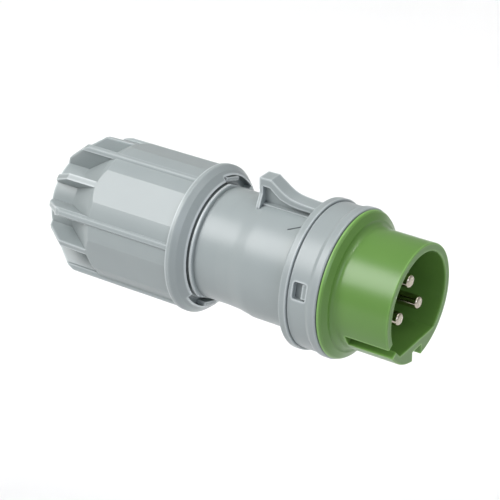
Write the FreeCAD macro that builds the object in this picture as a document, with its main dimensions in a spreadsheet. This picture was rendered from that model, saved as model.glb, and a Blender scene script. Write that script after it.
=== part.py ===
"""Pin and sleeve plug, extra-low-voltage pattern, three pins.

The axis of the plug is X. X is 0 at the front rim of the sleeve, and the plug
runs back from there to negative X. Z is up, through the cover hook.
Angles about the axis start at +Z and grow towards -Y.
"""
import FreeCAD, Part
import os
import re
import Sketcher

# Driving sizes in millimetres and degrees; places along the axis count back from the rim
SIZES = {
    # sleeve and contact carrier
    "sleeve_radius": 22.0,
    "sleeve_seam_angle": 128.0,
    "sleeve_wall": 3.0,
    "sleeve_depth": 38.0,
    "base_thickness": 5.0,
    "bore_flat_depth": 4.0,
    "major_key_width": 6.4,
    "major_key_depth": 4.1,
    "major_key_stop": 0.6,
    "minor_key_width": 5.5,
    "minor_key_stop": 4.7,
    "minor_key_angle": 120.0,
    "flange_rise": 5.25,
    "flange_length": 2.7,
    "flange_front": 22.2,
    "flange_step": 3.05,
    "flange_slope": 1.4,
    "flange_crown_drop": 0.65,
    "flange_rim_width": 0.4,
    "flange_root_round": 2.1,
    "rim_round": 0.4,
    "rib_width": 4.0,
    "rib_inset": 2.1,
    "rib_first_angle": 45.0,
    # contact pins and what holds them
    "pin_radius": 2.5,
    "pin_tip": 3.3,
    "pin_tip_round": 1.0,
    "pin_circle_radius": 7.9,
    "pin_root_rise": 0.5,
    "shoulder_rise": 0.75,
    "shoulder_length": 2.0,
    "terminal_rise": 1.0,
    "terminal_length": 15.0,
    "terminal_wall": 1.8,
    "wire_hole_depth": 9.5,
    "terminal_screw_radius": 2.0,
    "terminal_screw_back": 9.0,
    "terminal_screw_length": 4.2,
    "driver_slot_width": 0.7,
    "driver_slot_depth": 1.0,
    "holder_gap": 1.1,
    "holder_plate": 4.5,
    "holder_tube_wall": 1.4,
    "holder_screw_radius": 1.45,
    "holder_screw_length": 7.7,
    "holder_head_rise": 0.75,
    "holder_head_height": 1.9,
    # collar of the housing
    "gasket_inset": 1.15,
    "gasket_thickness": 0.4,
    "collar_wall": 2.4,
    "collar_gap": 2.6,
    "collar_step": 1.5,
    "front_bead_rise": 0.75,
    "front_bead_length": 2.9,
    "bead_slope": 1.4,
    "groove_depth": 0.25,
    "rear_bead_length": 2.8,
    "groove_width": 0.4,
    "rear_bead_rise": 0.9,
    "rear_bead_slope": 2.6,
    "collar_length": 17.7,
    "window_inset": 5.1,
    "window_length": 5.3,
    "window_width": 6.3,
    "window_angle": 75.0,
    "window_round": 0.8,
    "slide_thickness": 2.0,
    "slide_length": 9.0,
    "slide_button_length": 2.1,
    "slide_button_rise": 1.8,
    # barrel and neck of the housing
    "body_wall": 2.65,
    "body_bore_step": 2.1,
    "barrel_slope": 5.7,
    "waist_slope": 6.0,
    "waist_front_drop": 1.1,
    "waist_length": 9.2,
    "waist_drop": 1.45,
    "neck_wall": 4.0,
    "neck_flange_rise": 0.3,
    "barrel_length": 37.6,
    "neck_flange_length": 1.0,
    "thread_drop": 0.15,
    "neck_length": 23.8,
    "neck_relief_depth": 1.1,
    "neck_relief_length": 4.2,
    "flange_flat_depth": 1.55,
    "flange_flat_angle": 330.0,
    # cover hook
    "hook_width": 6.0,
    "hook_web": 1.8,
    "hook_foot_width": 10.6,
    "hook_inset": 1.1,
    "hook_plate": 1.4,
    "hook_rise": 9.95,
    # gland nut
    "nut_stand_off": 0.7,
    "nut_mouth_gap": 0.6,
    "nut_mouth_depth": 4.1,
    "nut_notch_depth": 1.5,
    "nut_notch_angle": 328.5,
    "nut_notch_span": 50.0,
    "tongue_angle": 341.5,
    "tongue_width": 8.0,
    "tongue_rise": 1.0,
    "nut_ring_rise": 1.25,
    "nut_ring_inset": 4.4,
    "nut_ring_width": 1.6,
    "nut_ring_slope": 2.0,
    "nut_crease_drop": 1.65,
    "nut_wall": 4.4,
    "nut_flat_depth": 0.8,
    "nut_flat_angle": 43.8,
    "nut_barrel_length": 43.8,
    "nut_cone_drop": 9.8,
    "nut_cone_length": 12.6,
    "nut_core_length": 9.7,
    "nut_cone_wall": 2.9,
    "long_rib_rise": 0.9,
    "long_rib_crest": 2.2,
    "rib_chamfer": 0.4,
    "long_rib_draft": 1.2,
    "long_rib_angle": 13.8,
    "short_rib_width": 2.4,
    "rib_slope_inset": 0.2,
    "rib_foot_rise": 2.7,
    "nut_seat_step": 2.4,
    "cable_exit_radius": 9.5,
    # cable clamp and seals
    "slip_ring_inset": 5.2,
    "slip_ring_thickness": 2.0,
    "slip_ring_drop": 1.4,
    "slip_ring_bore_radius": 10.5,
    "cage_reach": 12.0,
    "cage_flange_drop": 1.2,
    "cage_flange_thickness": 2.0,
    "cage_finger_drop": 0.9,
    "cage_wall": 2.8,
    "cage_mouth_step": 2.7,
    "cage_slot_width": 1.6,
    "insert_wall": 4.0,
    "cable_radius": 5.0,
    # clearances
    "running_gap": 0.1,
    "sliding_gap": 0.15,
    "press_gap": 0.05,
}

# Sizes that follow from a neighbour by a wall, a rise, a gap or a length
FITTED = {
    # sleeve and contact carrier
    "sleeve_bore_radius": "(sleeve_radius - sleeve_wall)",
    "bore_flat_height": "(sleeve_bore_radius - bore_flat_depth)",
    "major_key_floor": "(sleeve_radius - major_key_depth)",
    "major_key_length": "(flange_front - major_key_stop)",
    "minor_key_length": "(flange_front - minor_key_stop)",
    "flange_radius": "(sleeve_radius + flange_rise)",
    "flange_back": "(flange_front + flange_length)",
    "flange_step_radius": "(flange_radius - flange_step)",
    "flange_crown": "(flange_front + flange_slope)",
    "flange_crown_radius": "(flange_radius - flange_crown_drop)",
    "flange_rim": "(flange_back - flange_rim_width)",
    "rib_start": "(flange_back + rib_inset)",
    # contact pins and what holds them
    "pin_root_radius": "(pin_radius + pin_root_rise)",
    "shoulder_radius": "(terminal_radius + shoulder_rise)",
    "terminal_radius": "(pin_root_radius + terminal_rise)",
    "wire_hole_radius": "(terminal_radius - terminal_wall)",
    "holder_radius": "(body_bore_radius - holder_gap)",
    "holder_head_radius": "(holder_screw_radius + holder_head_rise)",
    # collar of the housing
    "gasket_radius": "(flange_radius - gasket_inset)",
    "collar_radius": "(collar_bore_radius + collar_wall)",
    "collar_bore_radius": "(sleeve_radius + collar_gap)",
    "collar_bore_depth": "(sleeve_depth - flange_back - gasket_thickness + collar_step)",
    "front_bead_radius": "(collar_radius + front_bead_rise)",
    "groove_back": "(rear_bead_back - rear_bead_length)",
    "rear_bead_radius": "(collar_radius + rear_bead_rise)",
    "rear_bead_back": "(collar_back - rear_bead_slope)",
    "collar_back": "(flange_back + collar_length)",
    "window_front": "(flange_back + window_inset)",
    # barrel and neck of the housing
    "body_radius": "(body_bore_radius + body_wall)",
    "body_bore_radius": "(sleeve_radius - body_bore_step)",
    "body_back": "(waist_front - barrel_slope)",
    "waist_front": "(waist_back - waist_slope)",
    "waist_front_radius": "(body_radius - waist_front_drop)",
    "waist_back": "(neck_flange_front - waist_length)",
    "waist_radius": "(body_radius - waist_drop)",
    "neck_bore_radius": "(thread_radius - neck_wall)",
    "neck_flange_radius": "(thread_radius + neck_flange_rise)",
    "neck_flange_front": "(collar_back + barrel_length)",
    "thread_radius": "(body_radius - thread_drop)",
    "neck_back": "(neck_flange_front + neck_length)",
    "neck_relief_radius": "(thread_radius - neck_relief_depth)",
    "flange_flat_height": "(neck_flange_radius - flange_flat_depth)",
    # cover hook
    "hook_back": "(waist_front - hook_inset)",
    "hook_top": "(body_radius + hook_rise)",
    # gland nut
    "nut_front": "(neck_flange_front + neck_flange_length + nut_stand_off)",
    "nut_mouth_radius": "(neck_flange_radius + nut_mouth_gap)",
    "nut_notch_radius": "(nut_mouth_radius + nut_notch_depth)",
    "tongue_radius": "(nut_mouth_radius + tongue_rise)",
    "nut_ring_radius": "(nut_radius + nut_ring_rise)",
    "nut_ring_place": "(nut_front + nut_ring_inset)",
    "nut_ring_back": "(nut_ring_place + nut_ring_width)",
    "nut_ring_crease": "(nut_ring_place - nut_ring_slope)",
    "nut_crease_radius": "(nut_ring_radius - nut_crease_drop)",
    "nut_radius": "(thread_radius + running_gap + nut_wall)",
    "nut_flat_height": "(nut_radius - nut_flat_depth)",
    "nut_shoulder": "(nut_front + nut_barrel_length)",
    "nut_core_radius": "(nut_radius - nut_cone_drop)",
    "nut_core_place": "(nut_shoulder + nut_cone_length)",
    "nut_back": "(nut_core_place + nut_core_length)",
    "long_rib_radius": "(nut_radius + long_rib_rise)",
    "long_rib_base": "(long_rib_crest + long_rib_draft)",
    "rib_slope_place": "(nut_core_place + rib_slope_inset)",
    "rib_foot_radius": "(nut_core_radius + rib_foot_rise)",
    "nut_seat_radius": "(thread_radius - nut_seat_step)",
    # cable clamp and seals
    "slip_ring_place": "(nut_shoulder - slip_ring_inset)",
    "slip_ring_radius": "(thread_radius - slip_ring_drop)",
    "cage_front": "(neck_back - cage_reach)",
    "cage_flange_radius": "(thread_radius - cage_flange_drop)",
    "cage_finger_radius": "(neck_bore_radius - cage_finger_drop)",
    "cage_bore_radius": "(cage_finger_radius - cage_wall)",
    "cage_mouth_radius": "(cage_bore_radius - cage_mouth_step)",
    "seal_split_radius": "(cable_radius + insert_wall)",
}

RIB_COUNT = 6
PIN_ANGLES = {"pin_top": 0, "pin_left": 120, "pin_right": 240}

doc = FreeCAD.newDocument("pin_and_sleeve_plug")
sheet = doc.addObject("Spreadsheet::Sheet", "Sizes")
for row, (alias, size) in enumerate(SIZES.items(), start=1):
    sheet.set(f"A{row}", alias)
    sheet.set(f"B{row}", str(size))
    sheet.setAlias(f"B{row}", alias)
doc.recompute()


def bound(text):
    """The expression with fitted sizes written out and each size name pointing at its cell."""
    def cell(word):
        name = word[0]
        if name in FITTED:
            return bound(FITTED[name])
        return "Sizes." + name if name in SIZES else name
    return re.sub(r"[a-z_]+", cell, text)


def number(text):
    return float(sheet.evalExpression(bound(text)))


def origin(body, role):
    return next(item for item in body.Origin.OriginFeatures if item.Role == role)


def new_body(name):
    body = doc.addObject("PartDesign::Body", name)
    body.Label = name
    return body


def new_sketch(body, name, role, turn="0", shift="0"):
    """A sketch on an origin plane, turned about the plug's axis and shifted along its normal."""
    sketch = body.newObject("Sketcher::SketchObject", name)
    sketch.AttachmentSupport = [(origin(body, role), "")]
    sketch.MapMode = "FlatFace"
    axis = FreeCAD.Vector(0, 0, 1) if role == "YZ_Plane" else FreeCAD.Vector(1, 0, 0)
    sketch.AttachmentOffset = FreeCAD.Placement(FreeCAD.Vector(), FreeCAD.Rotation(axis, 10))
    sketch.setExpression("AttachmentOffset.Rotation.Angle", bound(turn) + " * 1 deg")
    sketch.setExpression("AttachmentOffset.Base.z", bound(shift) + " * 1 mm")
    return sketch


def place_point(sketch, item, point, across, up):
    """Bind one point of a sketch to its two coordinates."""
    for kind, text in (("DistanceX", across), ("DistanceY", up)):
        index = sketch.addConstraint(Sketcher.Constraint(kind, -1, 1, item, point, number(text)))
        sketch.setExpression(f"Constraints[{index}]", bound(text))


def polygon(sketch, points):
    """A closed outline of straight sides through the points."""
    places = [FreeCAD.Vector(number(across), number(up), 0) for across, up in points]
    count = len(points)
    for index in range(count):
        sketch.addGeometry(Part.LineSegment(places[index], places[(index + 1) % count]), False)
    for index in range(count):
        sketch.addConstraint(Sketcher.Constraint("Coincident", index, 2, (index + 1) % count, 1))
    for index, (across, up) in enumerate(points):
        place_point(sketch, index, 1, across, up)


def circle(sketch, across, up, radius):
    centre = FreeCAD.Vector(number(across), number(up), 0)
    item = sketch.addGeometry(Part.Circle(centre, FreeCAD.Vector(0, 0, 1), number(radius)), False)
    place_point(sketch, item, 3, across, up)
    index = sketch.addConstraint(Sketcher.Constraint("Radius", item, number(radius)))
    sketch.setExpression(f"Constraints[{index}]", bound(radius))


def turned(body, name, points, cut=False, sweep="360", turn="0"):
    """A profile of (place along the axis, radius) turned about the axis, or swept to both sides of an angle."""
    sketch = new_sketch(body, name + "_profile", "XZ_Plane", turn)
    polygon(sketch, points)
    feature = body.newObject("PartDesign::Groove" if cut else "PartDesign::Revolution", name)
    feature.Profile = sketch
    feature.ReferenceAxis = (origin(body, "X_Axis"), [""])
    feature.Midplane = sweep != "360"
    feature.setExpression("Angle", bound(sweep) + " * 1 deg")
    doc.recompute()
    return feature


def extruded(body, name, sketch, width, cut=False):
    """A sketch pushed out to half the width on each side of its plane."""
    feature = body.newObject("PartDesign::Pocket" if cut else "PartDesign::Pad", name)
    feature.Profile = sketch
    feature.SideType = "Symmetric"
    feature.setExpression("Length", bound(width) + " * 1 mm")
    doc.recompute()
    return feature


def slab(body, name, points, width, turn="0", cut=False):
    """A flat side outline (place along the axis, height) that stands on the axis at an angle."""
    sketch = new_sketch(body, name + "_outline", "XZ_Plane", turn)
    polygon(sketch, points)
    return extruded(body, name, sketch, width, cut)


def span(body, name, front, back, draw, turn="0", cut=False):
    """A cross-section, drawn by the given function, that runs along the axis from front to back."""
    middle = f"(-(({front}) + ({back})) / 2)"
    sketch = new_sketch(body, name + "_section", "YZ_Plane", turn, middle)
    draw(sketch)
    return extruded(body, name, sketch, f"(({back}) - ({front}))", cut)


def radial_hole(body, name, place, height, depth, radius, cut=True):
    """A round hole or stud that points at the axis from above, about the given height."""
    sketch = new_sketch(body, name + "_circle", "XY_Plane", "0", height)
    circle(sketch, f"-({place})", "0", radius)
    return extruded(body, name, sketch, depth, cut)


def around(body, name, feature, count):
    """Equal copies of a feature about the axis."""
    pattern = body.newObject("PartDesign::PolarPattern", name)
    pattern.Originals = [feature]
    pattern.Axis = (origin(body, "X_Axis"), [""])
    pattern.Angle = 360
    pattern.Occurrences = count
    body.Tip = pattern
    doc.recompute()
    return pattern


def rings(feature, places):
    """Names of the round edges about the axis at the given (place, radius)."""
    wanted = [(number(place), number(radius)) for place, radius in places]
    names = []
    for index, edge in enumerate(feature.Shape.Edges, start=1):
        if not isinstance(edge.Curve, Part.Circle):
            continue
        centre = edge.Curve.Center
        on_axis = abs(centre.y) < 0.01 and abs(centre.z) < 0.01
        if on_axis and any(abs(centre.x - x) < 0.02 and abs(edge.Curve.Radius - r) < 0.02 for x, r in wanted):
            names.append(f"Edge{index}")
    return names


def rounded(body, name, feature, names, radius):
    """Fillet the named edges."""
    fillet = body.newObject("PartDesign::Fillet", name)
    fillet.Base = (feature, names)
    fillet.setExpression("Radius", bound(radius) + " * 1 mm")
    doc.recompute()
    return fillet


def edges_near(feature, points, reach=0.3):
    """Names of the edges whose middle lies near one of the points."""
    names = []
    for index, edge in enumerate(feature.Shape.Edges, start=1):
        middle = edge.valueAt((edge.FirstParameter + edge.LastParameter) / 2)
        if any(middle.distanceToPoint(point) < reach for point in points):
            names.append(f"Edge{index}")
    return names


COLLAR_FRONT = "(flange_back + gasket_thickness)"
BASE_BACK = "(sleeve_depth + base_thickness)"
SCREW_PLACE = "(sleeve_depth + base_thickness + shoulder_length + terminal_screw_back)"
TERMINAL_BACK = "(sleeve_depth + base_thickness + shoulder_length + terminal_length)"
FLANGE_END = "(neck_flange_front + neck_flange_length)"


def housing():
    """Grey outer shell: collar, barrel, threaded neck and cover hook in one moulding."""
    body = new_body("housing")
    shell = turned(body, "shell", [
        (f"-{COLLAR_FRONT}", "collar_bore_radius"),
        (f"-{COLLAR_FRONT}", "front_bead_radius"),
        (f"-({COLLAR_FRONT} + front_bead_length)", "front_bead_radius"),
        (f"-({COLLAR_FRONT} + front_bead_length + bead_slope)", "collar_radius"),
        ("-(groove_back - groove_width)", "collar_radius"),
        ("-(groove_back - groove_width)", "collar_radius - groove_depth"),
        ("-groove_back", "collar_radius - groove_depth"),
        ("-groove_back", "rear_bead_radius"),
        ("-rear_bead_back", "rear_bead_radius"),
        ("-collar_back", "body_radius"),
        ("-body_back", "body_radius"),
        ("-waist_front", "waist_front_radius"),
        ("-waist_back", "waist_radius"),
        ("-neck_flange_front", "waist_radius"),
        ("-neck_flange_front", "neck_flange_radius"),
        (f"-{FLANGE_END}", "neck_flange_radius"),
        (f"-{FLANGE_END}", "neck_relief_radius"),
        (f"-({FLANGE_END} + neck_relief_length)", "neck_relief_radius"),
        (f"-({FLANGE_END} + neck_relief_length)", "thread_radius"),
        ("-(neck_back - 1)", "thread_radius"),
        ("-neck_back", "thread_radius - 0.8"),
        ("-neck_back", "neck_bore_radius"),
        ("-(body_back + 5)", "neck_bore_radius"),
        ("-(body_back - 1)", "body_bore_radius"),
        (f"-({COLLAR_FRONT} + collar_bore_depth)", "body_bore_radius"),
        (f"-({COLLAR_FRONT} + collar_bore_depth)", "collar_bore_radius"),
    ])
    soft = rounded(body, "waist_rounds", shell, rings(shell, [
        ("-body_back", "body_radius"),
        ("-waist_front", "waist_front_radius"),
        ("-waist_back", "waist_radius"),
    ]), "12")
    beads = rounded(body, "bead_rounds", soft, rings(soft, [
        (f"-{COLLAR_FRONT}", "front_bead_radius"),
        (f"-({COLLAR_FRONT} + front_bead_length)", "front_bead_radius"),
        ("-rear_bead_back", "rear_bead_radius"),
        ("-collar_back", "body_radius"),
    ]), "0.7")
    fine = rounded(body, "groove_rounds", beads, rings(beads, [
        ("-groove_back", "rear_bead_radius"),
        ("-neck_flange_front", "neck_flange_radius"),
    ]), "0.3")

    # Window over the locking slide, with rounded corners
    window = slab(body, "window", [
        ("-window_front", "collar_bore_radius - 2"),
        ("-window_front", "collar_radius + 2"),
        ("-(window_front + window_length)", "collar_radius + 2"),
        ("-(window_front + window_length)", "collar_bore_radius - 2"),
    ], "window_width", "window_angle", cut=True)
    turn = FreeCAD.Rotation(FreeCAD.Vector(1, 0, 0), number("window_angle"))
    corners = [
        turn.multVec(FreeCAD.Vector(-place, side * number("window_width") / 2,
                                    number("(collar_bore_radius + collar_radius) / 2")))
        for place in (number("window_front"), number("window_front + window_length"))
        for side in (-1, 1)
    ]
    rounded(body, "window_rounds", window, edges_near(window, corners, 0.6), "window_round")

    # Cover hook: a strap that rises to the back, on a thin web between two open sides
    strap = slab(body, "hook_strap", [
        ("-hook_back", "body_radius - 1.5"),
        ("-hook_back", "hook_top"),
        ("-(hook_back - 4.8)", "hook_top + 0.1"),
        ("-(hook_back - 7.3)", "hook_top - 1.7"),
        ("-(hook_back - 9.9)", "hook_top - 3.6"),
        ("-(hook_back - 13.1)", "hook_top - 5.2"),
        ("-(hook_back - 16.9)", "hook_top - 5.7"),
        ("-(hook_back - 21.4)", "hook_top - 6.0"),
        ("-(collar_back - 2.4)", "hook_top - 6.1"),
        ("-(collar_back - 2.4)", "body_radius - 0.2"),
        ("-(collar_back + 1)", "body_radius - 1.5"),
    ], "hook_width")
    bends = [FreeCAD.Vector(-number(f"hook_back - {back}"), 0, number(f"hook_top - {drop}"))
             for back, drop in ((9.9, 3.6), (13.1, 5.2), (16.9, 5.7))]
    rounded(body, "hook_sweep", strap, edges_near(strap, bends), "10")
    foot = span(body, "hook_foot", "(hook_back - hook_plate)", "hook_back", lambda sketch: polygon(sketch, [
        ("-hook_width / 2", "hook_top - 4"),
        ("hook_width / 2", "hook_top - 4"),
        ("hook_width / 2", "hook_top - 6"),
        ("hook_foot_width / 2", "body_radius - 0.6"),
        ("hook_foot_width / 2", "waist_radius - 1.2"),
        ("-hook_foot_width / 2", "waist_radius - 1.2"),
        ("-hook_foot_width / 2", "body_radius - 0.6"),
        ("-hook_width / 2", "hook_top - 6"),
    ]))
    for name, side in (("left", "-1"), ("right", "1")):
        sketch = new_sketch(body, f"hook_pocket_{name}_outline", "XZ_Plane", "0",
                            f"({side} * (hook_web / 2 + hook_width / 2))")
        polygon(sketch, [
            ("-(hook_back - hook_plate)", "body_radius - 0.02"),
            ("-(hook_back - hook_plate)", "hook_top - 3.0"),
            ("-(hook_back - 4.4)", "hook_top - 3.2"),
            ("-(hook_back - 5.2)", "hook_top - 3.9"),
            ("-(hook_back - 8.6)", "hook_top - 6.5"),
            ("-(hook_back - 12.8)", "hook_top - 7.7"),
            ("-(hook_back - 16.9)", "hook_top - 8.1"),
            ("-(collar_back + 0.2)", "hook_top - 8.1"),
            ("-(collar_back + 0.2)", "body_radius - 0.02"),
        ])
        extruded(body, f"hook_pocket_{name}", sketch, "hook_width", cut=True)

    # Two flats on the neck flange, opposite each other, open the view into the nut's mouth
    flat = slab(body, "neck_flange_flat", [
        ("-(neck_flange_front - 0.5)", "flange_flat_height"),
        ("-(neck_flange_front - 0.5)", "neck_flange_radius + 2"),
        (f"-({FLANGE_END} + 0.5)", "neck_flange_radius + 2"),
        (f"-({FLANGE_END} + 0.5)", "flange_flat_height"),
    ], "(2 * neck_flange_radius)", "flange_flat_angle", cut=True)
    around(body, "neck_flange_flats", flat, 2)


def contact_carrier():
    """Green moulding: keyed sleeve, flange, base for the pins and six centring ribs."""
    body = new_body("contact_carrier")
    # The blank's seam stands clear of both keyways
    blank = turned(body, "blank", [
        ("0", "0"),
        ("0", "sleeve_radius"),
        ("-flange_front", "sleeve_radius"),
        ("-flange_front", "flange_step_radius"),
        ("-flange_crown", "flange_crown_radius"),
        ("-flange_rim", "flange_radius"),
        ("-flange_back", "flange_radius"),
        ("-flange_back", "sleeve_radius - 0.5"),
        (f"-({COLLAR_FRONT} + collar_bore_depth - sliding_gap)", "sleeve_radius - 0.5"),
        (f"-({COLLAR_FRONT} + collar_bore_depth - sliding_gap)", "body_bore_radius - sliding_gap"),
        (f"-{BASE_BACK}", "body_bore_radius - sliding_gap"),
        (f"-{BASE_BACK}", "0"),
    ], turn="sleeve_seam_angle")
    root = rounded(body, "flange_root", blank, rings(blank, [
        ("-flange_front", "sleeve_radius"),
    ]), "flange_root_round")
    crown = rounded(body, "flange_crown", root, rings(root, [
        ("-flange_crown", "flange_crown_radius"),
        ("-flange_rim", "flange_radius"),
    ]), "0.4")

    # The cavity round the pins is a circle with one flat, over the major keyway
    cavity = new_sketch(body, "cavity_section", "YZ_Plane", "0", "(-(sleeve_depth - 1) / 2)")
    reach = number("sleeve_bore_radius")
    height = number("bore_flat_height")
    half = (reach ** 2 - height ** 2) ** 0.5
    right = FreeCAD.Vector(half, -height, 0)
    left = FreeCAD.Vector(-half, -height, 0)
    cavity.addGeometry(Part.Arc(right, FreeCAD.Vector(0, reach, 0), left), False)
    cavity.addGeometry(Part.LineSegment(left, right), False)
    cavity.addConstraint(Sketcher.Constraint("Coincident", 0, 2, 1, 1))
    cavity.addConstraint(Sketcher.Constraint("Coincident", 1, 2, 0, 1))
    cavity.addConstraint(Sketcher.Constraint("Coincident", 0, 3, -1, 1))
    cavity.addConstraint(Sketcher.Constraint("Horizontal", 1))
    index = cavity.addConstraint(Sketcher.Constraint("Radius", 0, reach))
    cavity.setExpression(f"Constraints[{index}]", bound("sleeve_bore_radius"))
    index = cavity.addConstraint(Sketcher.Constraint("DistanceY", -1, 1, 1, 1, -height))
    cavity.setExpression(f"Constraints[{index}]", bound("-bore_flat_height"))
    hollow = extruded(body, "cavity", cavity, "(sleeve_depth + 1)", cut=True)
    rounded(body, "rim_rounds", hollow, rings(hollow, [
        ("0", "sleeve_radius"),
        ("0", "sleeve_bore_radius"),
    ]), "rim_round")

    # Keyways: a groove at the bottom that stops at the flange, and a slot through the wall
    span(body, "major_keyway", "-1", "major_key_length", lambda sketch: polygon(sketch, [
        ("-major_key_width / 2", "-major_key_floor"),
        ("major_key_width / 2", "-major_key_floor"),
        ("major_key_width / 2", "-(sleeve_radius + 3)"),
        ("-major_key_width / 2", "-(sleeve_radius + 3)"),
    ]), cut=True)
    slab(body, "minor_keyway", [
        ("1", "sleeve_bore_radius - 2"),
        ("1", "sleeve_radius + 2"),
        ("-minor_key_length", "sleeve_radius + 2"),
        ("-minor_key_length", "sleeve_bore_radius - 2"),
    ], "minor_key_width", "minor_key_angle", cut=True)

    # Ribs that centre the carrier in the collar
    rib = slab(body, "centring_rib", [
        ("-rib_start", "sleeve_radius - 1"),
        ("-rib_start", "collar_bore_radius - sliding_gap"),
        (f"-({COLLAR_FRONT} + collar_bore_depth - sliding_gap)", "collar_bore_radius - sliding_gap"),
        (f"-({COLLAR_FRONT} + collar_bore_depth - sliding_gap)", "sleeve_radius - 1"),
    ], "rib_width", "rib_first_angle")
    around(body, "centring_ribs", rib, RIB_COUNT)

    # Holes in the base for the three pins and for the screw in the middle
    hole = span(body, "pin_hole", "(sleeve_depth - 1)", f"({BASE_BACK} + 1)",
                lambda sketch: circle(sketch, "0", "pin_circle_radius", "pin_root_radius + press_gap"), cut=True)
    around(body, "pin_holes", hole, len(PIN_ANGLES))
    span(body, "screw_hole", f"({BASE_BACK} - base_thickness + 1)", f"({BASE_BACK} + 1)",
         lambda sketch: circle(sketch, "0", "0", "holder_screw_radius + press_gap"), cut=True)


def contact_pin(name, angle):
    """Plated pin with a shoulder and a screw terminal behind the base."""
    body = new_body(name)
    stem = turned(body, name + "_stem", [
        ("-pin_tip", "0"),
        ("-pin_tip", "pin_radius"),
        ("-sleeve_depth", "pin_radius"),
        ("-sleeve_depth", "pin_root_radius"),
        (f"-{BASE_BACK}", "pin_root_radius"),
        (f"-{BASE_BACK}", "shoulder_radius"),
        (f"-({BASE_BACK} + shoulder_length)", "shoulder_radius"),
        (f"-({BASE_BACK} + shoulder_length)", "terminal_radius"),
        (f"-{TERMINAL_BACK}", "terminal_radius"),
        (f"-{TERMINAL_BACK}", "0"),
    ])
    rounded(body, name + "_tip", stem, rings(stem, [("-pin_tip", "pin_radius")]), "pin_tip_round")
    span(body, name + "_wire_hole", f"({TERMINAL_BACK} - wire_hole_depth)", f"({TERMINAL_BACK} + 1)",
         lambda sketch: circle(sketch, "0", "0", "wire_hole_radius"), cut=True)
    radial_hole(body, name + "_screw_hole", SCREW_PLACE, "terminal_radius", "(2 * terminal_radius)",
                "terminal_screw_radius")
    set_about_axis(body, angle)


def terminal_screw(name, angle):
    """Slotted screw that clamps the wire in one pin."""
    body = new_body(name)
    radial_hole(body, name + "_shank", SCREW_PLACE, "(terminal_radius + 1 - terminal_screw_length / 2)",
                "terminal_screw_length", "(terminal_screw_radius - press_gap)", cut=False)
    slab(body, name + "_slot", [
        (f"-({SCREW_PLACE} - 3)", "terminal_radius + 1 - driver_slot_depth"),
        (f"-({SCREW_PLACE} - 3)", "terminal_radius + 2"),
        (f"-({SCREW_PLACE} + 3)", "terminal_radius + 2"),
        (f"-({SCREW_PLACE} + 3)", "terminal_radius + 1 - driver_slot_depth"),
    ], "driver_slot_width", cut=True)
    set_about_axis(body, angle)


def set_about_axis(body, angle):
    """Move a piece drawn on the axis out to the pin circle, at an angle."""
    body.Placement = FreeCAD.Placement(FreeCAD.Vector(), FreeCAD.Rotation(FreeCAD.Vector(1, 0, 0), angle))
    body.setExpression("Placement.Base.y", bound(f"-sin({angle} deg) * pin_circle_radius") + " * 1 mm")
    body.setExpression("Placement.Base.z", bound(f"cos({angle} deg) * pin_circle_radius") + " * 1 mm")


def pin_holder():
    """Insulating plate behind the base, with a tube round each screw terminal."""
    body = new_body("pin_holder")
    turned(body, "plate", [
        (f"-{BASE_BACK}", "0"),
        (f"-{BASE_BACK}", "holder_radius"),
        (f"-({BASE_BACK} + holder_plate)", "holder_radius"),
        (f"-({BASE_BACK} + holder_plate)", "0"),
    ])
    tube = span(body, "tube", f"({BASE_BACK} + holder_plate - 1)", f"({TERMINAL_BACK} + 1)",
                lambda sketch: circle(sketch, "0", "pin_circle_radius", "terminal_radius + holder_tube_wall"))
    around(body, "tubes", tube, len(PIN_ANGLES))
    bore = span(body, "tube_bore", f"({BASE_BACK} - 1)", f"({TERMINAL_BACK} + 2)",
                lambda sketch: circle(sketch, "0", "pin_circle_radius", "terminal_radius + running_gap"), cut=True)
    around(body, "tube_bores", bore, len(PIN_ANGLES))
    seat = span(body, "shoulder_seat", f"({BASE_BACK} - 1)", f"({BASE_BACK} + shoulder_length)",
                lambda sketch: circle(sketch, "0", "pin_circle_radius", "shoulder_radius + running_gap"), cut=True)
    around(body, "shoulder_seats", seat, len(PIN_ANGLES))
    access = radial_hole(body, "driver_hole", SCREW_PLACE, "(pin_circle_radius + terminal_radius + 1.4)", "4",
                         "(terminal_screw_radius + 0.6)")
    around(body, "driver_holes", access, len(PIN_ANGLES))
    span(body, "plate_hole", f"({BASE_BACK} - 1)", f"({BASE_BACK} + holder_plate + 1)",
         lambda sketch: circle(sketch, "0", "0", "holder_screw_radius + sliding_gap"), cut=True)


def holder_screw():
    """Screw that holds the pin holder against the base."""
    body = new_body("holder_screw")
    turned(body, "holder_screw_blank", [
        (f"-({BASE_BACK} + holder_plate - holder_screw_length)", "0"),
        (f"-({BASE_BACK} + holder_plate - holder_screw_length)", "holder_screw_radius - 0.4"),
        (f"-({BASE_BACK} + holder_plate - holder_screw_length + 0.6)", "holder_screw_radius"),
        (f"-({BASE_BACK} + holder_plate)", "holder_screw_radius"),
        (f"-({BASE_BACK} + holder_plate)", "holder_head_radius"),
        (f"-({BASE_BACK} + holder_plate + holder_head_height)", "holder_head_radius - 0.4"),
        (f"-({BASE_BACK} + holder_plate + holder_head_height)", "0"),
    ])
    slab(body, "holder_screw_slot", [
        (f"-({BASE_BACK} + holder_plate + holder_head_height - driver_slot_depth)", "-3"),
        (f"-({BASE_BACK} + holder_plate + holder_head_height - driver_slot_depth)", "3"),
        (f"-({BASE_BACK} + holder_plate + holder_head_height + 1)", "3"),
        (f"-({BASE_BACK} + holder_plate + holder_head_height + 1)", "-3"),
    ], "driver_slot_width", cut=True)


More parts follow.
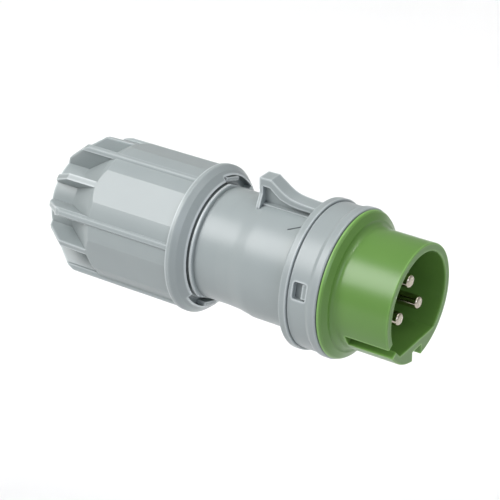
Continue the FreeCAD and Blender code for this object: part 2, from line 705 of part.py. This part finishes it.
def locking_slide():
    """Slide between carrier and collar that locks the two; its button shows in the collar window."""
    body = new_body("locking_slide")
    slab(body, "slide_plate", [
        ("-(window_front - 1.5)", "sleeve_radius + sliding_gap"),
        ("-(window_front - 1.5)", "sleeve_radius + sliding_gap + slide_thickness"),
        ("-(window_front - 1.5 + slide_length)", "sleeve_radius + sliding_gap + slide_thickness"),
        ("-(window_front - 1.5 + slide_length)", "sleeve_radius + sliding_gap"),
    ], "(window_width + 0.6)", "window_angle")
    slab(body, "slide_button", [
        ("-(window_front + 0.2)", "sleeve_radius + slide_thickness - 0.5"),
        ("-(window_front + 0.2)", "sleeve_radius + slide_thickness + slide_button_rise"),
        ("-(window_front + 0.2 + slide_button_length)", "sleeve_radius + slide_thickness + slide_button_rise"),
        ("-(window_front + 0.2 + slide_button_length)", "sleeve_radius + slide_thickness - 0.5"),
    ], "(window_width - 0.8)", "window_angle")


def collar_seal():
    """Black gasket between the green flange and the grey collar."""
    body = new_body("collar_seal")
    turned(body, "gasket", [
        ("-flange_back", "sleeve_radius + sliding_gap"),
        ("-flange_back", "gasket_radius"),
        (f"-{COLLAR_FRONT}", "gasket_radius"),
        (f"-{COLLAR_FRONT}", "collar_bore_radius - sliding_gap"),
        ("-(rib_start - 0.4)", "collar_bore_radius - sliding_gap"),
        ("-(rib_start - 0.4)", "sleeve_radius + sliding_gap"),
    ])


def gland_nut():
    """Grey gland nut: front ring, six flats, six long and six short ribs, conical pockets."""
    body = new_body("gland_nut")
    blank = turned(body, "nut_blank", [
        ("-nut_front", "0"),
        ("-nut_front", "nut_mouth_radius + 0.05"),
        ("-nut_ring_crease", "nut_crease_radius"),
        ("-nut_ring_place", "nut_ring_radius"),
        ("-nut_ring_back", "nut_ring_radius"),
        ("-nut_ring_back", "nut_radius"),
        ("-(nut_shoulder - 2.3)", "nut_radius"),
        ("-nut_shoulder", "nut_flat_height - 0.2"),
        ("-nut_core_place", "nut_core_radius"),
        ("-nut_back", "nut_core_radius"),
        ("-nut_back", "0"),
    ])
    rounded(body, "nut_ring_round", blank, rings(blank, [
        ("-nut_ring_place", "nut_ring_radius"),
    ]), "0.6")
    flat = slab(body, "nut_flat", [
        ("-nut_ring_back", "nut_flat_height"),
        ("-nut_ring_back", "nut_flat_height + 4"),
        ("-(nut_shoulder + 1)", "nut_flat_height + 4"),
        ("-(nut_shoulder + 1)", "nut_flat_height"),
    ], "16", "nut_flat_angle", cut=True)
    around(body, "nut_flats", flat, RIB_COUNT)

    # Long ribs run the whole barrel and are sloped off to the rear
    long_rib = span(body, "long_rib", "nut_ring_place", "nut_back", lambda sketch: polygon(sketch, [
        ("rib_chamfer - long_rib_crest / 2", "long_rib_radius"),
        ("long_rib_crest / 2 - rib_chamfer", "long_rib_radius"),
        ("long_rib_crest / 2", "long_rib_radius - rib_chamfer"),
        ("long_rib_base / 2", "nut_radius - 0.6"),
        ("long_rib_crest / 2", "nut_radius - 1.2"),
        ("long_rib_crest / 2", "nut_core_radius - 1"),
        ("-long_rib_crest / 2", "nut_core_radius - 1"),
        ("-long_rib_crest / 2", "nut_radius - 1.2"),
        ("-long_rib_base / 2", "nut_radius - 0.6"),
        ("-long_rib_crest / 2", "long_rib_radius - rib_chamfer"),
    ]), "long_rib_angle")
    around(body, "long_ribs", long_rib, RIB_COUNT)
    turned(body, "long_rib_slope", [
        ("-rib_slope_place", "long_rib_radius - 0.8"),
        ("-(nut_back - 1)", "rib_foot_radius"),
        ("-nut_back", "nut_core_radius + 0.3"),
        ("-(nut_back + 2)", "nut_core_radius + 0.3"),
        ("-(nut_back + 2)", "long_rib_radius + 4"),
        ("-(rib_slope_place - 2)", "long_rib_radius + 4"),
        ("-(rib_slope_place - 2)", "long_rib_radius - 0.1"),
    ], cut=True)

    # Short ribs stand only between the pockets, flush with the flats
    short_rib = slab(body, "short_rib", [
        ("-(nut_shoulder - 2)", "nut_flat_height"),
        ("-rib_slope_place", "nut_flat_height - 0.4"),
        ("-(nut_back - 1)", "rib_foot_radius - 0.2"),
        ("-nut_back", "nut_core_radius + 0.3"),
        ("-nut_back", "nut_core_radius - 1"),
        ("-(nut_shoulder - 2)", "nut_core_radius - 1"),
    ], "short_rib_width", "nut_flat_angle")
    around(body, "short_ribs", short_rib, RIB_COUNT)

    # Inside: mouth, threaded bore, seat for the slip ring, cone and cable exit
    turned(body, "nut_bore", [
        ("-(nut_front - 1)", "0"),
        ("-(nut_front - 1)", "nut_mouth_radius"),
        ("-(nut_front + nut_mouth_depth)", "nut_mouth_radius"),
        ("-(nut_front + nut_mouth_depth)", "thread_radius + running_gap"),
        ("-(slip_ring_place + slip_ring_thickness + running_gap)", "thread_radius + running_gap"),
        ("-(slip_ring_place + slip_ring_thickness + running_gap)", "nut_seat_radius"),
        ("-(nut_core_place - (nut_seat_radius - nut_core_radius + nut_cone_wall) * 1.42)", "nut_seat_radius"),
        ("-nut_core_place", "nut_core_radius - nut_cone_wall"),
        ("-(nut_back - 2)", "nut_core_radius - nut_cone_wall"),
        ("-(nut_back - 2)", "cable_exit_radius"),
        ("-(nut_back + 1)", "cable_exit_radius"),
        ("-(nut_back + 1)", "0"),
    ], cut=True)

    # Two notches in the mouth, each with a stiff tongue for a turning tool
    notch = turned(body, "mouth_notch", [
        ("-(nut_front - 1)", "nut_mouth_radius - 0.5"),
        ("-(nut_front - 1)", "nut_notch_radius"),
        ("-(nut_front + nut_mouth_depth)", "nut_notch_radius"),
        ("-(nut_front + nut_mouth_depth)", "nut_mouth_radius - 0.5"),
    ], cut=True, sweep="nut_notch_span", turn="nut_notch_angle")
    around(body, "mouth_notches", notch, 2)
    tongue = slab(body, "mouth_tongue", [
        ("-(nut_front + 0.4)", "nut_mouth_radius - 0.4"),
        ("-(nut_front + 0.4)", "tongue_radius"),
        ("-(nut_front + nut_mouth_depth + 1)", "tongue_radius"),
        ("-(nut_front + nut_mouth_depth + 1)", "nut_mouth_radius - 0.4"),
    ], "tongue_width", "tongue_angle")
    around(body, "mouth_tongues", tongue, 2)


def slip_ring():
    """Plastic washer between the turning nut and the clamp."""
    body = new_body("slip_ring")
    turned(body, "slip_ring_blank", [
        ("-slip_ring_place", "slip_ring_bore_radius"),
        ("-slip_ring_place", "slip_ring_radius"),
        ("-(slip_ring_place + slip_ring_thickness)", "slip_ring_radius"),
        ("-(slip_ring_place + slip_ring_thickness)", "slip_ring_bore_radius"),
    ])


def clamp_cage():
    """Cable clamp: a plain sleeve in the neck, a flange on its end, and spring fingers."""
    body = new_body("clamp_cage")
    turned(body, "cage_blank", [
        ("-cage_front", "cage_mouth_radius"),
        ("-cage_front", "neck_bore_radius - running_gap"),
        ("-neck_back", "neck_bore_radius - running_gap"),
        ("-neck_back", "cage_flange_radius"),
        ("-(neck_back + cage_flange_thickness)", "cage_flange_radius"),
        ("-(neck_back + cage_flange_thickness)", "cage_finger_radius"),
        ("-(slip_ring_place - 2)", "cage_finger_radius"),
        ("-(slip_ring_place - running_gap)", "cage_finger_radius - 0.8"),
        ("-(slip_ring_place - running_gap)", "cage_bore_radius"),
        ("-(neck_back + 1)", "cage_bore_radius"),
        ("-(neck_back + 1)", "cage_mouth_radius"),
    ])
    slot = slab(body, "finger_slot", [
        ("-(neck_back + cage_flange_thickness + 2)", "cage_bore_radius - 2"),
        ("-(neck_back + cage_flange_thickness + 2)", "cage_finger_radius + 2"),
        ("-(slip_ring_place + 1)", "cage_finger_radius + 2"),
        ("-(slip_ring_place + 1)", "cage_bore_radius - 2"),
    ], "cage_slot_width", cut=True)
    around(body, "finger_slots", slot, 8)


def seal_ring(name, inside, outside):
    """Rubber ring that the clamp squeezes on the cable."""
    body = new_body(name)
    turned(body, name + "_blank", [
        ("-(neck_back + 1 + running_gap)", inside),
        ("-(neck_back + 1 + running_gap)", outside),
        ("-(slip_ring_place - running_gap)", outside),
        ("-(slip_ring_place - running_gap)", inside),
    ])


housing()
contact_carrier()
for pin_name, pin_angle in PIN_ANGLES.items():
    contact_pin(pin_name, pin_angle)
    terminal_screw(pin_name.replace("pin", "terminal_screw"), pin_angle)
pin_holder()
holder_screw()
locking_slide()
collar_seal()
gland_nut()
slip_ring()
clamp_cage()
seal_ring("cable_seal", "seal_split_radius", "cage_bore_radius - running_gap")
seal_ring("seal_insert", "cable_radius", "seal_split_radius - press_gap")
doc.recompute()

for item in doc.Objects:
    if "Invalid" in item.State or "Error" in item.State:
        raise RuntimeError(f"{item.Name} failed: {item.State}")

bodies = [item for item in doc.Objects if item.TypeId == "PartDesign::Body"]
for body in bodies:
    shape = body.Shape
    if shape.isNull() or not shape.isValid() or len(shape.Solids) != 1:
        raise RuntimeError(f"{body.Label} is not one valid solid")

os.makedirs("parts", exist_ok=True)
for body in bodies:
    body.Shape.exportStep(f"parts/{body.Label}.step")
    box = body.Shape.BoundBox
    print(f"{body.Label}: {body.Shape.Volume / 1000:.2f} cm3, x {box.XMin:.1f} to {box.XMax:.1f}")
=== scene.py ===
"""Looks of a pin and sleeve plug: moulded grey shell, green contact insert, plated pins."""
import math

import bpy
from mathutils import Matrix, Vector


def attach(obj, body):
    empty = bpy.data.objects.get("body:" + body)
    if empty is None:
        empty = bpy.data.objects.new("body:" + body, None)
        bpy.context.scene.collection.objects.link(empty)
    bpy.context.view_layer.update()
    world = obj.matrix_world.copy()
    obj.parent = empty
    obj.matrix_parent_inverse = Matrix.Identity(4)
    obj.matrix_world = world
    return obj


bl_info = {
    "name": "Pin and sleeve plug",
    "version": (1, 0, 0),
    "blender": (4, 5, 0),
    "location": "View3D > Sidebar > Plug",
    "description": "Dresses the plug's solids and sets up its studio",
    "category": "Object",
}

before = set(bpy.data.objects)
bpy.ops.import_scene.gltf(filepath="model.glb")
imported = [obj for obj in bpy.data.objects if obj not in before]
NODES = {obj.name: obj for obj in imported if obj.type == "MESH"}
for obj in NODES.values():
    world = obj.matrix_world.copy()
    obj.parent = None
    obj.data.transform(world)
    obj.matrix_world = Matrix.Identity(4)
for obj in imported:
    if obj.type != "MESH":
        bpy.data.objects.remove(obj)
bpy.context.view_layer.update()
MM = 0.001

# The thread between neck and nut in millimetres: pitch, radius, depth of the bump, and its two ends along X
THREAD_PITCH = 4.0
THREAD_RADIUS = 22.4
THREAD_DEPTH = 1.2
THREAD_START = -86.0
THREAD_END = -122.0

# The raised line's two ends on the barrel: millimetres along X, then degrees from +Z towards -Y
LINE_START = (-47.3, 28.0)
LINE_END = (-42.9, 20.8)
# In millimetres: the radius of the line's ends, its height, the bevel on its edges, and how far it is lifted
LINE_RADIUS = 22.55
LINE_HEIGHT = 0.3
LINE_BEVEL = 0.08
LINE_LIFT = 0.04

# In metres: the middle of the plug, where the lights aim, the floor's side, and the camera's place and back axis,
# which were solved from the photograph
PLUG_MIDDLE = (-0.075, 0, 0)
FLOOR_SPAN = 12.0
CAMERA_PLACE = (0.26335, -0.50389, 0.33273)
CAMERA_BACK = (0.48324, -0.73067, 0.48230)


def linear(colour):
    """An sRGB hex colour as linear RGBA."""
    parts = [int(colour[start:start + 2], 16) / 255 for start in (1, 3, 5)]
    return (*[part / 12.92 if part <= 0.04045 else ((part + 0.055) / 1.055) ** 2.4 for part in parts], 1.0)


def connect(tree, node, inputs):
    """Links each socket to its input of the node, and sets each plain value on its input."""
    for key, value in inputs.items():
        if isinstance(value, bpy.types.NodeSocket):
            tree.links.new(value, node.inputs[key])
        else:
            node.inputs[key].default_value = value


def add(tree, kind, inputs=None, **settings):
    """Adds a node with its settings, and sets or links its inputs."""
    made = tree.nodes.new(kind)
    for name, value in settings.items():
        setattr(made, name, value)
    connect(tree, made, inputs or {})
    return made


def new_material(name):
    """An empty node material with its shader and Object coordinates."""
    material = bpy.data.materials.new(name)
    material.use_nodes = True
    tree = material.node_tree
    tree.nodes.clear()
    shader = add(tree, "ShaderNodeBsdfPrincipled")
    add(tree, "ShaderNodeOutputMaterial", {"Surface": shader.outputs["BSDF"]})
    coords = add(tree, "ShaderNodeTexCoord").outputs["Object"]
    return material, tree, shader, coords


def colour_mix(tree, share, low, high):
    """A mix of two colours, each an sRGB hex or a socket, by a share socket."""
    ends = [linear(colour) if isinstance(colour, str) else colour for colour in (low, high)]
    # The Mix node keeps one A and B for each kind of data: 6 and 7 are the colours, and output 2 is theirs
    mix = add(tree, "ShaderNodeMix", {"Factor": share, 6: ends[0], 7: ends[1]}, data_type="RGBA")
    return mix.outputs[2]


def painted_edge_light(tree, base, painted_highlight, shaded, reach_mm):
    """A colour with a painted highlight along outer edges and painted shade in creases and gaps to other pieces."""
    # Rays into the piece find its own thin outer edges, and rays out of it find creases and gaps to other pieces
    outer = add(tree, "ShaderNodeAmbientOcclusion", {"Distance": reach_mm * MM}, samples=8, inside=True,
                only_local=True)
    # Painted highlight: the colour is lightened where rays into the piece meet its own thin outer edges
    painted_highlight_share = add(tree, "ShaderNodeMapRange", {"Value": outer.outputs["AO"], "From Min": 0.97, "From Max": 0.6,
                                               "To Max": 0.9})
    # Painted shade: the colour is darkened where rays out of the piece meet creases and gaps
    inner = add(tree, "ShaderNodeAmbientOcclusion", {"Distance": reach_mm * MM}, samples=8)
    shading = add(tree, "ShaderNodeMapRange", {"Value": inner.outputs["AO"], "From Min": 0.8, "From Max": 0.2,
                                               "To Max": 0.6})
    lighter = colour_mix(tree, painted_highlight_share.outputs["Result"], base, painted_highlight)
    return colour_mix(tree, shading.outputs["Result"], lighter, shaded)


def moulded_plastic(name, colours, roughness, grain_mm, grain_depth_mm, edge_mm, thread=False):
    """Injection-moulded plastic: satin skin, a fine spark-eroded grain and faint flow clouds, with a painted
    highlight along outer edges and painted shade in creases.

    The four colours are the body's, its flow clouds', the painted highlight on its outer edges and the painted shade
    in its creases.
    """
    colour, flow_colour, painted_highlight_colour, shaded_colour = colours
    material, tree, shader, coords = new_material(name)
    clouds = add(tree, "ShaderNodeTexNoise", {"Vector": coords, "Scale": 1 / (14 * MM), "Detail": 2.0})
    grain = add(tree, "ShaderNodeTexNoise", {"Vector": coords, "Scale": 1 / (grain_mm * MM), "Detail": 3.0})
    body_colour = colour_mix(tree, clouds.outputs["Fac"], colour, flow_colour)
    # Painted highlight on outer edges and painted shade in creases, mixed into the body's colour
    tinted = painted_edge_light(tree, body_colour, painted_highlight_colour, shaded_colour, 4 * edge_mm)
    gloss = add(tree, "ShaderNodeMapRange", {"Value": grain.outputs["Fac"], "To Min": roughness - 0.04,
                                             "To Max": roughness + 0.05})
    edges = add(tree, "ShaderNodeBevel", {"Radius": edge_mm * MM}, samples=6)
    skin = add(tree, "ShaderNodeBump", {"Strength": 0.35, "Distance": grain_depth_mm * MM,
                                        "Height": grain.outputs["Fac"], "Normal": edges.outputs["Normal"]})
    normal = skin.outputs["Normal"]
    if thread:
        normal = thread_bump(tree, coords, normal)
    connect(tree, shader, {"Base Color": tinted, "Roughness": gloss.outputs["Result"], "IOR": 1.53, "Normal": normal})
    return material


def ramp(tree, value, low, high):
    """A share that climbs from 0 at low to 1 at high, in millimetres of a length socket."""
    made = add(tree, "ShaderNodeMapRange", {"Value": value, "From Min": low * MM, "From Max": high * MM})
    return made.outputs["Result"]


def product(tree, *values):
    """The product of several sockets or numbers."""
    total = values[0]
    for value in values[1:]:
        total = add(tree, "ShaderNodeMath", {0: total, 1: value}, operation="MULTIPLY").outputs[0]
    return total


def thread_bump(tree, coords, normal):
    """Right-hand trapezoid thread of 4 mm pitch on the neck and in the nut's bore, as a helix about X."""
    axes = add(tree, "ShaderNodeSeparateXYZ", {"Vector": coords})
    turn = add(tree, "ShaderNodeMath", {0: axes.outputs["Z"], 1: axes.outputs["Y"]}, operation="ARCTAN2")
    share = product(tree, turn.outputs[0], -0.5 / math.pi)
    phase = add(tree, "ShaderNodeMath", {0: axes.outputs["X"], 1: 1 / (THREAD_PITCH * MM), 2: share},
                operation="MULTIPLY_ADD")
    wave = add(tree, "ShaderNodeMath", {0: phase.outputs[0], 1: 0.5}, operation="PINGPONG")
    ridge = add(tree, "ShaderNodeMapRange", {"Value": wave.outputs[0], "From Min": 0.1, "From Max": 0.4})
    flat = add(tree, "ShaderNodeCombineXYZ", {"Y": axes.outputs["Y"], "Z": axes.outputs["Z"]})
    radius = add(tree, "ShaderNodeVectorMath", {0: flat.outputs[0]}, operation="LENGTH").outputs["Value"]
    # The thread shows only on surfaces of about its own radius, from the neck's relief back to the seat
    zone = product(tree, ramp(tree, radius, THREAD_RADIUS - 0.15, THREAD_RADIUS - 0.1),
                   ramp(tree, radius, THREAD_RADIUS + 0.25, THREAD_RADIUS + 0.2),
                   ramp(tree, axes.outputs["X"], THREAD_START + 0.2, THREAD_START),
                   ramp(tree, axes.outputs["X"], THREAD_END, THREAD_END + 0.2))
    bump = add(tree, "ShaderNodeBump", {"Strength": 1.0, "Distance": THREAD_DEPTH * MM, "Normal": normal,
                                        "Height": product(tree, ridge.outputs["Result"], zone)})
    return bump.outputs["Normal"]


def plated_metal(name, colour, stain, roughness, ring_mm):
    """Turned metal under a thin plating: shiny, with fine lathe rings along X and faint stains."""
    material, tree, shader, coords = new_material(name)
    # The wave's phase is 20 times scale times X in radians, so the rings stand 2 pi times ring_mm apart
    rings = add(tree, "ShaderNodeTexWave", {"Vector": coords, "Scale": 1 / (ring_mm * MM * 20), "Distortion": 0.6,
                                            "Detail": 1.0}, bands_direction="X")
    tarnish = add(tree, "ShaderNodeTexNoise", {"Vector": coords, "Scale": 1 / (5 * MM), "Detail": 4.0})
    blend = colour_mix(tree, tarnish.outputs["Fac"], colour, stain)
    gloss = add(tree, "ShaderNodeMapRange", {"Value": tarnish.outputs["Fac"], "To Min": roughness - 0.04,
                                             "To Max": roughness + 0.06})
    edges = add(tree, "ShaderNodeBevel", {"Radius": 0.15 * MM}, samples=6)
    bump = add(tree, "ShaderNodeBump", {"Strength": 0.05, "Distance": 0.01 * MM, "Height": rings.outputs["Fac"],
                                        "Normal": edges.outputs["Normal"]})
    connect(tree, shader, {"Base Color": blend, "Metallic": 1.0, "Roughness": gloss.outputs["Result"],
                           "Normal": bump.outputs["Normal"]})
    return material


def rubber(name, colour, bloom):
    """Pressed rubber: matt and dark, with fine pores and a faint dusty bloom."""
    material, tree, shader, coords = new_material(name)
    dust = add(tree, "ShaderNodeTexNoise", {"Vector": coords, "Scale": 1 / (2.5 * MM), "Detail": 6.0})
    pores = add(tree, "ShaderNodeTexVoronoi", {"Vector": coords, "Scale": 1 / (0.4 * MM)})
    blend = colour_mix(tree, dust.outputs["Fac"], colour, bloom)
    bump = add(tree, "ShaderNodeBump", {"Strength": 0.3, "Distance": 0.03 * MM,
                                        "Height": pores.outputs["Distance"]})
    connect(tree, shader, {"Base Color": blend, "Roughness": 0.72, "Normal": bump.outputs["Normal"]})
    return material


def dress(material, *names):
    """Gives CAD nodes one material."""
    for name in names:
        slots = NODES[name].data.materials
        slots.clear()
        slots.append(material)


def deselect_all():
    """Leaves nothing selected, so that the next operator works on its own object only."""
    bpy.ops.object.select_all(action="DESELECT")


class PlugSettings(bpy.types.PropertyGroup):
    """Colours and finishes of the plug"""
    shell_colour: bpy.props.StringProperty(
        name="Shell colour", description="Light grey of the moulded shell and nut, sRGB hex", default="#939B9C")
    shell_flow: bpy.props.StringProperty(
        name="Shell flow colour", description="Slightly lighter grey of the flow clouds", default="#99A1A1")
    insert_colour: bpy.props.StringProperty(
        name="Insert colour", description="Green of the contact carrier, sRGB hex", default="#5A833A")
    insert_flow: bpy.props.StringProperty(
        name="Insert flow colour", description="Slightly lighter green of the flow clouds", default="#618940")
    plastic_roughness: bpy.props.FloatProperty(
        name="Plastic roughness", description="Satin skin of the moulded pieces", default=0.34, min=0.1, max=0.9)
    grain_mm: bpy.props.FloatProperty(
        name="Grain", description="Width of the moulded grain, in millimetres", default=0.5, min=0.05, max=3.0)
    edge_mm: bpy.props.FloatProperty(
        name="Edge rounding", description="Radius that moulded edges show, in millimetres", default=0.22, min=0.0,
        max=1.0)
    mark_width: bpy.props.FloatProperty(
        name="Mark width", description="Width of the raised line on the barrel", default=0.45 * MM, unit="LENGTH")


class StudioSettings(bpy.types.PropertyGroup):
    """Floor, lights and lens"""
    floor_drop: bpy.props.FloatProperty(
        name="Floor", description="Height of the floor below the axis", default=0.16, unit="LENGTH")
    lens: bpy.props.FloatProperty(
        name="Lens", description="Focal length that matches the photograph, in millimetres", default=136.95)
    key_power: bpy.props.FloatProperty(
        name="Key light", description="Power of the big light at upper left, in watts", default=16.6)
    fill_power: bpy.props.FloatProperty(
        name="Fill light", description="Power of the cool light in front of the pins, in watts", default=3.2)
    top_power: bpy.props.FloatProperty(
        name="Top light", description="Power of the light overhead, towards the pins, in watts", default=3.0)
    backdrop_power: bpy.props.FloatProperty(
        name="Backdrop light", description="Power of the light on the floor behind the plug, in watts", default=2.1)
    sky: bpy.props.FloatProperty(name="Sky", description="Strength of the even white surroundings", default=0.385)


class PLUG_OT_shell(bpy.types.Operator):
    """Dresses housing, gland nut and locking slide as moulded grey polyamide, with a thread under the nut"""
    bl_idname = "plug.shell"
    bl_label = "Grey shell"

    def execute(self, context):
        plug = context.scene.plug
        # Polyamide: dense, slightly cool grey whose satin skin spreads each highlight wide; the paler grey is painted
        # highlight on edges and the dark grey painted shade in creases
        grey = moulded_plastic("grey_moulded_polyamide", (plug.shell_colour, plug.shell_flow, "#C4CBCC", "#4A5052"),
                               plug.plastic_roughness, plug.grain_mm, 0.02, plug.edge_mm, thread=True)
        dress(grey, "housing", "gland_nut", "locking_slide")
        return {"FINISHED"}


class PLUG_OT_insert(bpy.types.Operator):
    """Dresses the contact carrier as moulded green polyamide"""
    bl_idname = "plug.insert"
    bl_label = "Green insert"

    def execute(self, context):
        plug = context.scene.plug
        # The green is a little glossier than the shell, so its rim catches a thin bright line; the paler green is
        # painted highlight on edges and the dark green painted shade in creases
        green = moulded_plastic("green_moulded_polyamide",
                                (plug.insert_colour, plug.insert_flow, "#83B25E", "#2B4618"),
                                plug.plastic_roughness - 0.04, plug.grain_mm, 0.015, plug.edge_mm)
        dress(green, "contact_carrier")
        return {"FINISHED"}


class PLUG_OT_contacts(bpy.types.Operator):
    """Dresses the pins as nickel-plated brass and the screws as zinc-plated steel"""
    bl_idname = "plug.contacts"
    bl_label = "Contacts"

    def execute(self, context):
        # Nickel: warm and nearly mirror-smooth, so each domed tip holds one small bright spot
        nickel = plated_metal("nickel_plated_brass", "#CFC8BA", "#BFB5A2", 0.14, 0.15)
        # Zinc: cooler and duller, as on small screws
        zinc = plated_metal("zinc_plated_steel", "#C3C8CE", "#9EA6AD", 0.3, 0.12)
        dress(nickel, "pin_top", "pin_left", "pin_right")
        dress(zinc, "terminal_screw_top", "terminal_screw_left", "terminal_screw_right", "holder_screw")
        return {"FINISHED"}


class PLUG_OT_inner(bpy.types.Operator):
    """Dresses the pieces inside: holder, clamp, slip ring and seals"""
    bl_idname = "plug.inner"
    bl_label = "Inner pieces"

    def execute(self, context):
        plug = context.scene.plug
        # Glass-filled black polyamide: rougher, with a deeper grain from the fibres; the lighter grey is painted
        # highlight on edges and the near-black painted shade in creases
        black = moulded_plastic("black_glass_filled_polyamide", ("#232526", "#2C2E2F", "#3D4042", "#101112"), 0.52,
                                plug.grain_mm, 0.03, 0.2)
        # Natural acetal: milky white and slick; the brighter white is painted highlight on edges and the grey painted
        # shade in creases
        white = moulded_plastic("natural_acetal", ("#DCDCD4", "#E4E3DA", "#ECEBE4", "#A3A29A"), 0.34,
                                plug.grain_mm, 0.01, 0.2)
        dress(black, "pin_holder", "clamp_cage")
        dress(white, "slip_ring")
        # Rubber: swallows the light, so the gap under the flange reads as a dark line
        dress(rubber("black_pressed_rubber", "#1B1C1C", "#262828"), "cable_seal", "seal_insert", "collar_seal")
        return {"FINISHED"}


def barrel_point(place_mm, angle, radius_mm):
    """A point at a place along X and a radius in millimetres, and at an angle from +Z towards -Y in degrees."""
    turn = math.radians(angle)
    return Vector((place_mm, -radius_mm * math.sin(turn), radius_mm * math.cos(turn))) * MM


class PLUG_OT_mark(bpy.types.Operator):
    """Adds the fine raised line on the barrel, beside the hook"""
    bl_idname = "plug.mark"
    bl_label = "Raised line"

    def execute(self, context):
        plug = context.scene.plug
        start = barrel_point(*LINE_START, LINE_RADIUS)
        end = barrel_point(*LINE_END, LINE_RADIUS)
        middle = (start + end) / 2
        along = (end - start).normalized()
        out = Vector((0, middle.y, middle.z)).normalized()
        across = out.cross(along).normalized()
        out = along.cross(across).normalized()
        deselect_all()
        bpy.ops.mesh.primitive_cube_add(size=1.0, location=(0, 0, 0))
        mark = context.active_object
        mark.name = "barrel_line"
        mark.data.name = "barrel_line"
        mark.data.transform(Matrix.Diagonal(((end - start).length, plug.mark_width, LINE_HEIGHT * MM, 1.0)))
        bpy.ops.object.mode_set(mode="EDIT")
        bpy.ops.mesh.select_all(action="SELECT")
        bpy.ops.mesh.bevel(offset=LINE_BEVEL * MM, segments=2, affect="EDGES")
        bpy.ops.object.mode_set(mode="OBJECT")
        basis = Matrix((along, across, out)).transposed().to_4x4()
        basis.translation = middle + out * LINE_LIFT * MM
        mark.data.transform(basis)
        # The shell's grey with painted shade in place of the edge highlight, and painted shade in the creases around
        # it: the line is all edge, so it reads as a thin dark stroke of painted shade
        dark_edged = moulded_plastic("grey_moulded_line",
                                     (plug.shell_colour, plug.shell_flow, "#4A5052", "#3A4042"),
                                     plug.plastic_roughness, plug.grain_mm, 0.02, plug.edge_mm)
        mark.data.materials.append(dark_edged)
        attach(mark, "shell")
        return {"FINISHED"}


def area_light(name, place, aim, size, power, colour="#FFFFFF"):
    """A square softbox that points at a place."""
    data = bpy.data.lights.new(name, "AREA")
    data.shape = "SQUARE"
    data.size = size
    data.energy = power
    data.color = linear(colour)[:3]
    lamp = bpy.data.objects.new(name, data)
    bpy.context.scene.collection.objects.link(lamp)
    lamp.location = place
    lamp.rotation_euler = (Vector(aim) - Vector(place)).to_track_quat("-Z", "Y").to_euler()
    return lamp


class PLUG_OT_studio(bpy.types.Operator):
    """Makes the pale floor, the soft lights and the camera at the photograph's angle"""
    bl_idname = "plug.studio"
    bl_label = "Studio"

    def execute(self, context):
        scene = context.scene
        studio = scene.studio
        deselect_all()
        bpy.ops.mesh.primitive_plane_add(size=FLOOR_SPAN, location=(0, 0, -studio.floor_drop))
        floor = context.active_object
        floor.name = "studio_floor"
        # Matt paper: no gleam, and close to white under the lights
        paper, tree, shader, coords = new_material("matt_paper_floor")
        mottle = add(tree, "ShaderNodeTexNoise", {"Vector": coords, "Scale": 3.0, "Detail": 2.0})
        tint = colour_mix(tree, mottle.outputs["Fac"], "#E6E6E6", "#E9E9E9")
        connect(tree, shader, {"Base Color": tint, "Roughness": 0.9, "Specular IOR Level": 0.0})
        floor.data.materials.append(paper)

        world = scene.world or bpy.data.worlds.new("studio")
        scene.world = world
        world.use_nodes = True
        sky = world.node_tree.nodes["Background"]
        sky.inputs["Color"].default_value = (1, 1, 1, 1)
        sky.inputs["Strength"].default_value = studio.sky

        area_light("key_softbox", (-0.75, -0.75, 1.0), PLUG_MIDDLE, 0.9, studio.key_power)
        area_light("front_softbox", (0.9, -0.6, 0.6), PLUG_MIDDLE, 0.7, studio.fill_power, "#E6EEFF")
        area_light("top_softbox", (0.3, 0.1, 1.1), PLUG_MIDDLE, 0.8, studio.top_power)
        # A gridded softbox straight above the floor behind the plug: it whitens the backdrop and misses the plug
        backdrop = area_light("backdrop_softbox", (-0.52, 0.64, 0.8), (-0.52, 0.64, -0.16), 1.24,
                              studio.backdrop_power)
        backdrop.data.spread = math.radians(16)

        data = bpy.data.cameras.new("photo_camera")
        data.lens = studio.lens
        data.sensor_width = 36.0
        data.clip_start = 0.01
        data.clip_end = 50.0
        camera = bpy.data.objects.new("photo_camera", data)
        scene.collection.objects.link(camera)
        camera.location = CAMERA_PLACE
        camera.rotation_mode = "QUATERNION"
        camera.rotation_quaternion = (-Vector(CAMERA_BACK)).to_track_quat("-Z", "Y")
        scene.camera = camera
        scene.view_settings.view_transform = "Standard"
        return {"FINISHED"}


STEPS = ("shell", "insert", "contacts", "inner", "mark", "studio")


class PLUG_PT_panel(bpy.types.Panel):
    """Shows every setting and one button per step"""
    bl_idname = "PLUG_PT_panel"
    bl_label = "Pin and sleeve plug"
    bl_space_type = "VIEW_3D"
    bl_region_type = "UI"
    bl_category = "Plug"

    def draw(self, context):
        for group in (context.scene.plug, context.scene.studio):
            for name in group.__annotations__:
                self.layout.prop(group, name)
        for step in STEPS:
            self.layout.operator("plug." + step)


CLASSES = (PlugSettings, StudioSettings, PLUG_OT_shell, PLUG_OT_insert, PLUG_OT_contacts, PLUG_OT_inner,
           PLUG_OT_mark, PLUG_OT_studio, PLUG_PT_panel)


def register():
    """Adds the classes and the two groups of settings to Blender."""
    for item in CLASSES:
        bpy.utils.register_class(item)
    bpy.types.Scene.plug = bpy.props.PointerProperty(type=PlugSettings)
    bpy.types.Scene.studio = bpy.props.PointerProperty(type=StudioSettings)


def unregister():
    """Takes them out again."""
    del bpy.types.Scene.studio
    del bpy.types.Scene.plug
    for item in reversed(CLASSES):
        bpy.utils.unregister_class(item)


def main():
    """Runs every step in order."""
    register()
    for step in STEPS:
        getattr(bpy.ops.plug, step)()


if __name__ == "__main__":
    main()
